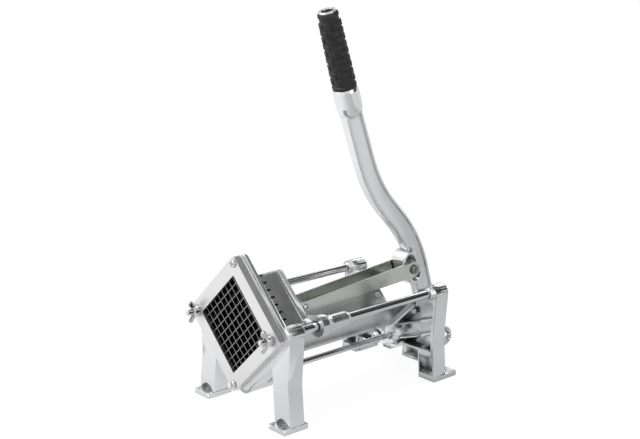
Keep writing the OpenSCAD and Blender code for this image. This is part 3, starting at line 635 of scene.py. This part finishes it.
# the power of a cosine that draws the wing in towards its flat sides: less is fuller
WING_FULLNESS = 0.45
WING_STEPS, WING_ROWS = 48, 17
NUT_BODY = ((0.00305, 0.0013, 0.0001), (0.0056, 0.0013, 0.0004), (0.0051, 0.0066, 0.0006),
            (0.0042, 0.0075, 0.0005), (0.00305, 0.0075, 0.0003))


def nut_place(side):
    """Where the axis of the left or right wing nut meets the front plate's face."""
    x, _, z = joints[f"{side}_wing_nut_turn"]["pos_m"]
    return np.array([x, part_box("front_plate")[0].y, z])


def wing_nut_surface(place, thickness):
    """A wing nut: a turned body with a bore and two wings, each an oval drawn between a
    small root and a round tip, thick in the middle and thin at its edge."""
    axis = (WING_TIP - WING_ROOT) / np.linalg.norm(WING_TIP - WING_ROOT)
    turn = np.linspace(0, 2 * math.pi, WING_STEPS, endpoint=False)[:, None]
    circle = np.cos(turn) * axis + np.sin(turn) * square_to(axis)
    tip, root = WING_TIP + TIP_RADIUS * circle, WING_ROOT + ROOT_RADIUS * circle
    outer = np.where(np.cos(turn) > 0, tip, root)
    centre = (WING_ROOT + WING_TIP) / 2
    swing = np.linspace(-math.pi / 2, math.pi / 2, WING_ROWS)[1:-1, None, None]
    flat = centre + (outer[None] - centre) * np.cos(swing) ** WING_FULLNESS
    rise = np.broadcast_to(np.sin(swing) * thickness / 2, flat[..., :1].shape)
    wing = np.concatenate([rise, flat], -1)
    body = spun(rounded(NUT_BODY))
    shells = Shells()
    shells.ring(np.stack([body[..., 0], -body[..., 2], body[..., 1]], -1) + place)
    for side in (1, -1):
        shells.bar(wing * [side, 1, side] + place)
    return shells


# ---- copies of CAD nodes, merged and carved ----

ARC_STEPS = 24
WELD_DISTANCE = 1e-6


def box_outline(x0, x1, z0, z1):
    """A rectangle in (X, Z) mm."""
    return [(x0, z0), (x1, z0), (x1, z1), (x0, z1)]


def arc_outline(centre, radius, start, stop):
    """Points of an arc about centre in (X, Z) mm, from one angle to another in degrees."""
    turn = np.radians(np.linspace(start, stop, ARC_STEPS))
    return np.stack([centre[0] + radius * np.cos(turn), centre[1] + radius * np.sin(turn)], -1)


# what both frames' feet have, in mm: the plate's outline, the reach of the front and rear
# plates along Y, and the screw hole's place across and along, with its radius, as the
# record's mount gives them
PLATE_TOP = 5.5
FOOT_PLATE = box_outline(55, 74, 0.2, PLATE_TOP)
FRONT_FOOT, REAR_FOOT = (-130, -100), (101, 131)
HOLES = mounts["foot_holes"]["dims"]
HOLE_ACROSS, HOLE_ALONG = HOLES["spacing_x_mm"] / 2, HOLES["spacing_y_mm"] / 2
HOLE_RADIUS = HOLES["hole_r_mm"]
HOLE_STEPS = 32

# a front leg's low arch, which leaves room for the screw's head, and the wall behind it
ARCH = arc_outline((64, PLATE_TOP - 3.6), 11.1, 19, 161)
ARCH_REACH = (-140, -116)
ARCH_WALL = box_outline(54.5, 74, 5, 19.5)
ARCH_WALL_REACH = (-122, -109)

# the open front of the rear frame's right leg, in (X, Z) mm: the opening between its walls,
# the cells between its ribs, the plate at its back and the ribs' outer ends
LEG_OPENING = [(40, 34.6), (69, 34.6), (67.5, 50), (70.2, 89), (50, 89), (40, 79)]
LEG_CELLS = (
    [(40, 34.6), (69, 34.6), (67.5, 50), (67.6, 53.8), (40, 43.4)],
    [(40, 46.6), (67.7, 56.9), (68.9, 71.2), (40, 60.4)],
    [(40, 63.6), (69, 74.4), (70.2, 89), (50, 89), (40, 79)],
    [(53, 6.5), (73.6, 6.5), (71.6, 28), (51.2, 28)],
)
LEG_BACK = [(50, 5), (73.5, 5), (70.5, 28.6), (68.6, 50), (71.4, 93), (50, 93)]
LEG_RIBS = (
    [(50, 47.25), (69, 54.38), (69, 57.38), (50, 50.25)],
    [(50, 64.25), (70, 71.75), (70, 74.75), (50, 67.25)],
)
# where these lie along Y: the cuts start clear of the leg's front
CUT_FRONT, RIB_FRONT, CELL_END, BACK_END = 90, 99, 108, 112.9


def prisms(name, *plates):
    """One object out of plates: each a closed outline in (X, Z) mm, wound from X to Z,
    carried along Y from one place to another, on the right side and mirrored to the left."""
    points, faces, count = [], [], 0
    for outline, front, back in plates:
        for side in (1, -1):
            flat = np.array(outline, float) * [side, 1]
            around = len(flat)
            points += [np.insert(flat, 1, y, axis=1) for y in (front, back)]
            n = count + np.arange(around)
            right = np.roll(n, -1)
            walls = np.stack([n, n + around, right + around, right], -1)
            for face in (*walls, n, n[::-1] + around):
                faces.append(face[::side].tolist())
            count += 2 * around
    data = bpy.data.meshes.new(name)
    data.from_pydata((np.concatenate(points) * MM).tolist(), [], faces)
    return placed(name, data)


def foot_holes(y):
    """The round holes of two feet at y mm: a circle carried down through the plate."""
    low, high = -1, PLATE_TOP + 1
    profile = np.array([[0.0, low], [HOLE_RADIUS, low], [HOLE_RADIUS, high], [0.0, high]])
    column = spun(profile, HOLE_STEPS)
    shells = Shells()
    for side in (1, -1):
        shells.ring((column + [side * HOLE_ACROSS, y, 0]) * MM)
    return shells.mesh("Holes", None)


def carved(node, name, material, *steps):
    """A merged, smoothly shaded copy of a CAD node to which other objects are added or from
    which they are cut, in order; the objects then go."""
    data = nodes[node].data.copy()
    work = bmesh.new()
    work.from_mesh(data)
    bmesh.ops.remove_doubles(work, verts=work.verts, dist=WELD_DISTANCE)
    work.to_mesh(data)
    work.free()
    piece = placed(name, data)
    for operation, tool in steps:
        step = piece.modifiers.new(operation, "BOOLEAN")
        step.operation, step.solver, step.object = operation, "EXACT", tool
        step.use_self = True
    bpy.context.view_layer.update()
    ready = piece.evaluated_get(bpy.context.evaluated_depsgraph_get())
    piece.data = bpy.data.meshes.new_from_object(ready)
    piece.modifiers.clear()
    for _, tool in steps:
        bpy.data.objects.remove(tool)
    piece.data.materials.clear()
    piece.data.materials.append(material)
    piece.data.polygons.foreach_set("use_smooth", np.ones(len(piece.data.polygons), bool))
    piece.data.set_sharp_from_angle(angle=COPY_CREASE)
    flat = piece.modifiers.new("Flat faces stay flat", "WEIGHTED_NORMAL")
    flat.keep_sharp = True
    return piece


def place_piece(piece, body, slot, *replaced):
    """The piece moves with its body and stands for CAD nodes; slot is not used."""
    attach(piece, body)
    if replaced:
        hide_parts(*replaced)


def slots():
    """CAD node name to its material slot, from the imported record."""
    return {s["node"]: s["material_slot"] for s in record["subparts"]}


def body_of(name):
    """The body that a CAD node rides on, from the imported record."""
    bodies = record["behaviour"]["bodies"]
    return next(body for body, held in bodies.items() if name in held)


def smooth(material, *names):
    """Smoothly shaded copies of CAD nodes with round faces, in their places."""
    for name in names:
        copy = carved(name, name.capitalize(), material)
        place_piece(copy, body_of(name), slots()[name], name)


def front_frame_piece(material):
    """The front frame with a low arch in the front of each leg over a whole foot plate."""
    fill = prisms("Fill", (FOOT_PLATE, *FRONT_FOOT), (ARCH_WALL, *ARCH_WALL_REACH))
    arch = prisms("Arch", (ARCH, *ARCH_REACH))
    steps = (("UNION", fill), ("DIFFERENCE", arch), ("DIFFERENCE", foot_holes(-HOLE_ALONG)))
    piece = carved("front_frame", "Front_frame", material, *steps)
    place_piece(piece, "frame", "frame_casting", "front_frame")


def rear_frame_piece(material):
    """The rear frame with its legs open to the front, as the photograph shows them."""
    ribs = [(rib, RIB_FRONT, CELL_END + 1) for rib in LEG_RIBS]
    fill = prisms("Fill", (FOOT_PLATE, *REAR_FOOT), (LEG_BACK, CELL_END, BACK_END), *ribs)
    front = prisms("Front", (LEG_OPENING, CUT_FRONT, RIB_FRONT))
    deep = prisms("Deep", *((cell, CUT_FRONT, CELL_END) for cell in LEG_CELLS))
    holes = foot_holes(HOLE_ALONG)
    steps = (("UNION", fill), ("DIFFERENCE", front), ("DIFFERENCE", deep), ("DIFFERENCE", holes))
    piece = carved("rear_frame", "Rear_frame", material, *steps)
    place_piece(piece, "frame", "frame_casting", "rear_frame")


# ---- operators ----


class Pieces:
    """What the operators share."""

    bl_options = {"REGISTER", "UNDO"}


class FRYCUTTER_OT_castings(Pieces, bpy.types.Operator):
    """Polished castings: the two frames, the carriage and the finger block"""

    bl_idname = "frycutter.castings"
    bl_label = "Castings"

    def execute(self, context):
        look = context.scene.fry_finish
        cast = (look.casting, look.casting_roughness, look.edge_radius)
        # the front frame's recesses get lighter painted shade than the rear frame's
        front_frame_piece(casting_finish("Front casting", *cast, dark=0.8))
        rear_frame_piece(casting_finish("Rear casting", *cast))
        satin, edge = shade(look.casting, 0.9), look.edge_radius * 0.7
        pusher = casting_finish("Pusher casting", satin, roughness=0.26, edge=edge)
        coat(pusher, "finger_block")
        smooth(pusher, "carriage")
        return {"FINISHED"}


class FRYCUTTER_OT_plate(Pieces, bpy.types.Operator):
    """Satin front plate"""

    bl_idname = "frycutter.plate"
    bl_label = "Front plate"

    def execute(self, context):
        look = context.scene.fry_finish
        ground = ground_finish(
            "Front plate", look.plate, roughness=0.34, scale=(60, 60, 2600), edge=0.0006
        )
        coat(ground, "front_plate")
        return {"FINISHED"}


class FRYCUTTER_OT_blades(Pieces, bpy.types.Operator):
    """Blade ring and the two sets of blades"""

    bl_idname = "frycutter.blades"
    bl_label = "Blades"

    def execute(self, context):
        look = context.scene.fry_finish
        coat(blade_finish("Blade steel", look.blade), "blades_rising", "blades_falling")
        dark = shade(look.blade, 0.6)
        ring = ground_finish("Blade ring", dark, roughness=0.3, scale=(900, 40, 900), edge=0.0002)
        coat(ring, "blade_ring")
        return {"FINISHED"}


class FRYCUTTER_OT_rods(Pieces, bpy.types.Operator):
    """Plated guide rods and tie rod"""

    bl_idname = "frycutter.rods"
    bl_label = "Rods"

    def execute(self, context):
        look = context.scene.fry_finish
        mirror = plated_finish("Rods", look.chrome, roughness=0.07)
        smooth(mirror, "guide_rod_left", "guide_rod_right", "tie_rod")
        return {"FINISHED"}


class FRYCUTTER_OT_sheet(Pieces, bpy.types.Operator):
    """Trough and channel"""

    bl_idname = "frycutter.sheet"
    bl_label = "Trough and channel"

    def execute(self, context):
        look = context.scene.fry_finish
        tint = shade(look.sheet, 0.84)
        rolled = ground_finish(
            "Trough sheet", tint, roughness=0.2, scale=(1500, 25, 1500), edge=0.0004
        )
        smooth(rolled, "trough")
        coat(zinc_finish("Channel zinc", look.zinc), "channel")
        return {"FINISHED"}


class FRYCUTTER_OT_fasteners(Pieces, bpy.types.Operator):
    """Screws, nuts, washers, pins and bushes"""

    bl_idname = "frycutter.fasteners"
    bl_label = "Fasteners"

    def execute(self, context):
        look = context.scene.fry_finish
        bright = plated_finish("Fasteners", look.steel, roughness=0.2, edge=0.0003)
        taken = [n for n, s in slots().items() if s == "fasteners" and not n.startswith("wing_nut")]
        smooth(bright, *(n for n in taken if n != "drive_pin"))
        smooth(plated_finish("Drive pin", shade(look.steel, 0.4), roughness=0.3), "drive_pin")
        for side in ("left", "right"):
            shells = wing_nut_surface(nut_place(side), context.scene.fry_shape.wing_thickness)
            nut = shells.mesh(f"Wing_nut_{side}", bright)
            place_piece(nut, f"{side}_wing_nut", "fasteners", f"wing_nut_{side}")
        oiled = ground_finish(
            "Bronze bush", look.bronze, roughness=0.4, scale=(400, 400, 400), edge=0.0002
        )
        coat(oiled, "lever_bush")
        return {"FINISHED"}


class FRYCUTTER_OT_lever(Pieces, bpy.types.Operator):
    """Cast lever"""

    bl_idname = "frycutter.lever"
    bl_label = "Lever"

    def execute(self, context):
        look = context.scene.fry_finish
        cast = (look.casting, look.casting_roughness, look.edge_radius)
        polished = casting_finish("Lever casting", *cast)
        lever = lever_surface(context.scene.fry_shape.rim_radius).mesh("Lever", polished)
        place_piece(lever, "hand_lever", "lever_casting", "lever")
        return {"FINISHED"}


class FRYCUTTER_OT_grip(Pieces, bpy.types.Operator):
    """Rubber grip on its tube"""

    bl_idname = "frycutter.grip"
    bl_label = "Grip"

    def execute(self, context):
        look = context.scene.fry_finish
        shape = context.scene.fry_shape
        sleeve = grip_surface(shape.pad_rows, shape.pad_height) + [0, 0, GRIP_START]
        shells = Shells()
        shells.ring(on_axis(sleeve, (0, *lever_top()), GRIP_LEAN))
        grip = shells.mesh("Grip", rubber_finish("Grip rubber", look.rubber))
        place_piece(grip, "hand_lever", "rubber", "grip")
        smooth(plated_finish("Grip metal", look.steel, roughness=0.2), "grip_core", "grip_end_ring")
        return {"FINISHED"}


class FRYCUTTER_OT_stage(Pieces, bpy.types.Operator):
    """Floor, lights and the camera at the photograph's angle"""

    bl_idname = "frycutter.stage"
    bl_label = "Stage"

    def execute(self, context):
        setup = context.scene.fry_stage
        build_floor(setup.floor_size)
        build_sky(setup.sky)
        build_lights(setup)
        build_camera(setup.lens)
        context.scene.view_settings.view_transform = "Standard"
        return {"FINISHED"}


# ---- stage ----

# the floor's painted reflection, which only polished metal sees: how bright it is, by how far
# it lies to the rear right, in metres
PAINTED_FLOOR_REFLECTION = (
    (-0.6, 0.84), (-0.3, 0.86), (-0.05, 0.6), (0.14, 0.42),
    (0.28, 0.46), (0.5, 0.34), (0.7, 0.38), (1.0, 0.62),
)
REAR_RIGHT = (0.74, 0.67, 0)
TONES_START, TONES_END = -0.6, 1.2
# the floor lies just below the feet; its grey for light that bounces, its grey below the
# glow, and the glow that the camera sees
FLOOR_DROP = 0.0004
MATT_FLOOR, PALE_FLOOR, FLOOR_GLOW = 0.82, 0.22, 0.88

# soft dark and bright patches painted into the sky, which only polished metal sees, as painted
# reflections: the direction of the middle, the cosines where the patch begins and is full,
# and how much it adds to the rest
PAINTED_REFLECTION_PATCHES = (
    ((0.24, 0.66, 0.71), 0.80, 0.93, -0.62),
    ((-0.25, 0.70, 0.67), 0.92, 0.97, -0.30),
    ((0.49, 0.70, 0.52), 0.955, 0.985, -0.48),
    ((0.69, 0.69, 0.22), 0.92, 0.97, -0.78),
    ((-0.75, 0.62, 0.12), 0.93, 0.975, -0.34),
    ((-0.55, -0.55, 0.62), 0.80, 0.90, 0.35),
)
# how bright the sky is in the painted reflections, and the least it falls to
MIRRORED_SKY, DARKEST_SKY = 0.86, 0.03

# lamps: name, place, width and height, and the power that each takes
LAMPS = (
    ("Key", (-0.9, -1.3, 1.7), (1.1, 1.1), "key"),
    ("Side", (1.7, 0.2, 0.9), (0.5, 1.4), "fill"),
    ("Back", (-0.6, 1.6, 1.1), (1.4, 0.4), "fill"),
)
LAMP_TARGET = (0, 0, 0.15)

# the photograph's camera, from a fit to points measured in it
CAMERA_TURN, CAMERA_RISE = math.radians(47.455), math.radians(14.735)
CAMERA_ROLL = math.radians(0.912)
CAMERA_TARGET = (-0.03163, 0.01299, 0.18298)
CAMERA_DISTANCE = 1.39879


def grey(level):
    """An opaque grey."""
    return (level, level, level, 1)


def build_floor(size):
    """A square pale floor whose shadows are faint; polished metal sees a painted reflection of it,
    greyer towards the rear right.
    """
    half = size / 2
    corners = [(-half, -half, 0), (half, -half, 0), (half, half, 0), (-half, half, 0)]
    data = bpy.data.meshes.new("Floor")
    data.from_pydata(corners, [], [(0, 1, 2, 3)])
    floor = placed("Floor", data)
    floor.location.z = -FLOOR_DROP
    material = bpy.data.materials.new("Pale floor")
    material.use_nodes = True
    n = Wiring(material.node_tree)
    n.tree.nodes.remove(n.tree.nodes["Principled BSDF"])
    matt = n.add("ShaderNodeBsdfDiffuse", in_Color=grey(MATT_FLOOR))
    pale = n.add("ShaderNodeBsdfDiffuse", in_Color=grey(PALE_FLOOR))
    light = n.add("ShaderNodeEmission", in_Strength=FLOOR_GLOW)
    glow = n.add("ShaderNodeAddShader")
    n.link(pale.outputs["BSDF"], glow.inputs[0])
    n.link(light.outputs["Emission"], glow.inputs[1])
    seen = n.by_ray("Is Camera Ray", matt.outputs["BSDF"], glow.outputs["Shader"])
    place = n.add("ShaderNodeTexCoord")
    along = n.add("ShaderNodeVectorMath", operation="DOT_PRODUCT")
    along.inputs[1].default_value = REAR_RIGHT
    n.link(place.outputs["Object"], along.inputs[0])
    spread = n.add("ShaderNodeMapRange", in_From_Min=TONES_START, in_From_Max=TONES_END)
    n.link(along.outputs["Value"], spread.inputs["Value"])
    tones = n.add("ShaderNodeValToRGB")
    n.link(spread.outputs["Result"], tones.inputs["Fac"])
    band = tones.color_ramp
    for k, (spot, level) in enumerate(PAINTED_FLOOR_REFLECTION):
        # a new ramp has two steps, and each further one is added at its far end, then moved
        step = band.elements[k] if k < 2 else band.elements.new(0.99)
        step.position = (spot - TONES_START) / (TONES_END - TONES_START)
        step.color = grey(level)
    # painted reflection: glossy rays see the floor glow in these greys
    mirrored = n.add("ShaderNodeEmission")
    n.link(tones.outputs["Color"], mirrored.inputs["Color"])
    dim = n.add("ShaderNodeAddShader")
    n.link(pale.outputs["BSDF"], dim.inputs[0])
    n.link(mirrored.outputs["Emission"], dim.inputs[1])
    surface = n.by_ray("Is Glossy Ray", seen, dim.outputs["Shader"])
    n.link(surface, n.tree.nodes["Material Output"].inputs["Surface"])
    data.materials.append(material)


def build_sky(strength):
    """An even sky, white where the camera looks; polished metal sees a few soft dark and
    bright patches painted into it as reflections, which give it its contrast."""
    world = bpy.data.worlds.new("Studio")
    bpy.context.scene.world = world
    world.use_nodes = True
    n = Wiring(world.node_tree)
    n.tree.nodes.clear()
    place = n.add("ShaderNodeTexCoord")
    level = None
    for toward, start, full, amount in PAINTED_REFLECTION_PATCHES:
        dot = n.add("ShaderNodeVectorMath", operation="DOT_PRODUCT")
        dot.inputs[1].default_value = Vector(toward).normalized()
        n.link(place.outputs["Generated"], dot.inputs[0])
        patch = n.add("ShaderNodeMapRange", interpolation_type="SMOOTHSTEP")
        limits = (("From Min", start), ("From Max", full), ("To Min", 0), ("To Max", amount))
        for key, value in limits:
            patch.inputs[key].default_value = value
        n.link(dot.outputs["Value"], patch.inputs["Value"])
        total = n.add("ShaderNodeMath", operation="ADD")
        n.link(patch.outputs["Result"], total.inputs[0])
        total.inputs[1].default_value = MIRRORED_SKY
        if level is not None:
            n.link(level, total.inputs[1])
        level = total.outputs["Value"]
    least = n.add("ShaderNodeMath", operation="MAXIMUM")
    least.inputs[1].default_value = DARKEST_SKY
    n.link(level, least.inputs[0])
    # painted reflection: glossy rays see the sky with its patches, other rays an even sky
    mirrored = n.add("ShaderNodeBackground", in_Color=grey(1))
    n.link(least.outputs["Value"], mirrored.inputs["Strength"])
    lit = n.add("ShaderNodeBackground", in_Color=grey(1), in_Strength=strength)
    white = n.add("ShaderNodeBackground", in_Color=grey(1))
    seen = n.by_ray("Is Glossy Ray", lit.outputs["Background"], mirrored.outputs["Background"])
    seen = n.by_ray("Is Camera Ray", seen, white.outputs["Background"])
    out = n.add("ShaderNodeOutputWorld")
    n.link(seen, out.inputs["Surface"])


def build_lights(setup):
    """Soft lamps: a large one above the front left, a tall one at the right and a wide one
    behind."""
    for name, place, size, power in LAMPS:
        data = bpy.data.lights.new(name, "AREA")
        data.shape = "RECTANGLE"
        data.size, data.size_y = size
        data.energy = getattr(setup, power)
        lamp = placed(name, data)
        lamp.location = place
        toward = Vector(LAMP_TARGET) - Vector(place)
        lamp.rotation_euler = toward.to_track_quat("-Z", "Y").to_euler()


def build_camera(lens):
    """The photograph's camera: on a ray from its target, turned about Z, raised and rolled."""
    turn, rise, roll = CAMERA_TURN, CAMERA_RISE, CAMERA_ROLL
    flat = math.cos(rise)
    back = Vector((math.sin(turn) * flat, -math.cos(turn) * flat, math.sin(rise)))
    level = Vector((math.cos(turn), math.sin(turn), 0))
    right = math.cos(roll) * level + math.sin(roll) * back.cross(level)
    up = back.cross(right)
    data = bpy.data.cameras.new("Camera")
    data.lens = lens
    data.sensor_width = 36
    data.sensor_fit = "HORIZONTAL"
    data.clip_start = 0.01
    camera = placed("Camera", data)
    place = Vector(CAMERA_TARGET) + back * CAMERA_DISTANCE
    axes = Matrix((right, up, back)).transposed().to_4x4()
    camera.matrix_world = Matrix.Translation(place) @ axes
    bpy.context.scene.camera = camera


# ---- add-on ----

OPERATORS = (
    FRYCUTTER_OT_castings,
    FRYCUTTER_OT_plate,
    FRYCUTTER_OT_blades,
    FRYCUTTER_OT_rods,
    FRYCUTTER_OT_sheet,
    FRYCUTTER_OT_fasteners,
    FRYCUTTER_OT_lever,
    FRYCUTTER_OT_grip,
    FRYCUTTER_OT_stage,
)


class FRYCUTTER_PT_panel(bpy.types.Panel):
    """The pieces, their sizes and their colours"""

    bl_idname = "FRYCUTTER_PT_panel"
    bl_label = "Fry Cutter"
    bl_space_type = "VIEW_3D"
    bl_region_type = "UI"
    bl_category = "Fry Cutter"

    def draw(self, context):
        column = self.layout.column()
        for group in (context.scene.fry_finish, context.scene.fry_shape, context.scene.fry_stage):
            for key in group.__annotations__:
                column.prop(group, key)
        for operator in OPERATORS:
            column.operator(operator.bl_idname)


CLASSES = (FryCutterFinish, FryCutterShape, FryCutterStage, *OPERATORS, FRYCUTTER_PT_panel)


def register():
    """Registers the classes and gives the scene their sizes and colours."""
    for item in CLASSES:
        bpy.utils.register_class(item)
    bpy.types.Scene.fry_finish = PointerProperty(type=FryCutterFinish)
    bpy.types.Scene.fry_shape = PointerProperty(type=FryCutterShape)
    bpy.types.Scene.fry_stage = PointerProperty(type=FryCutterStage)


def unregister():
    """Takes away what register added."""
    del bpy.types.Scene.fry_finish
    del bpy.types.Scene.fry_shape
    del bpy.types.Scene.fry_stage
    for item in reversed(CLASSES):
        bpy.utils.unregister_class(item)


def main():
    """Registers the classes and makes every piece."""
    register()
    for operator in OPERATORS:
        group, call = operator.bl_idname.split(".")
        getattr(getattr(bpy.ops, group), call)()


if __name__ == "__main__":
    main()
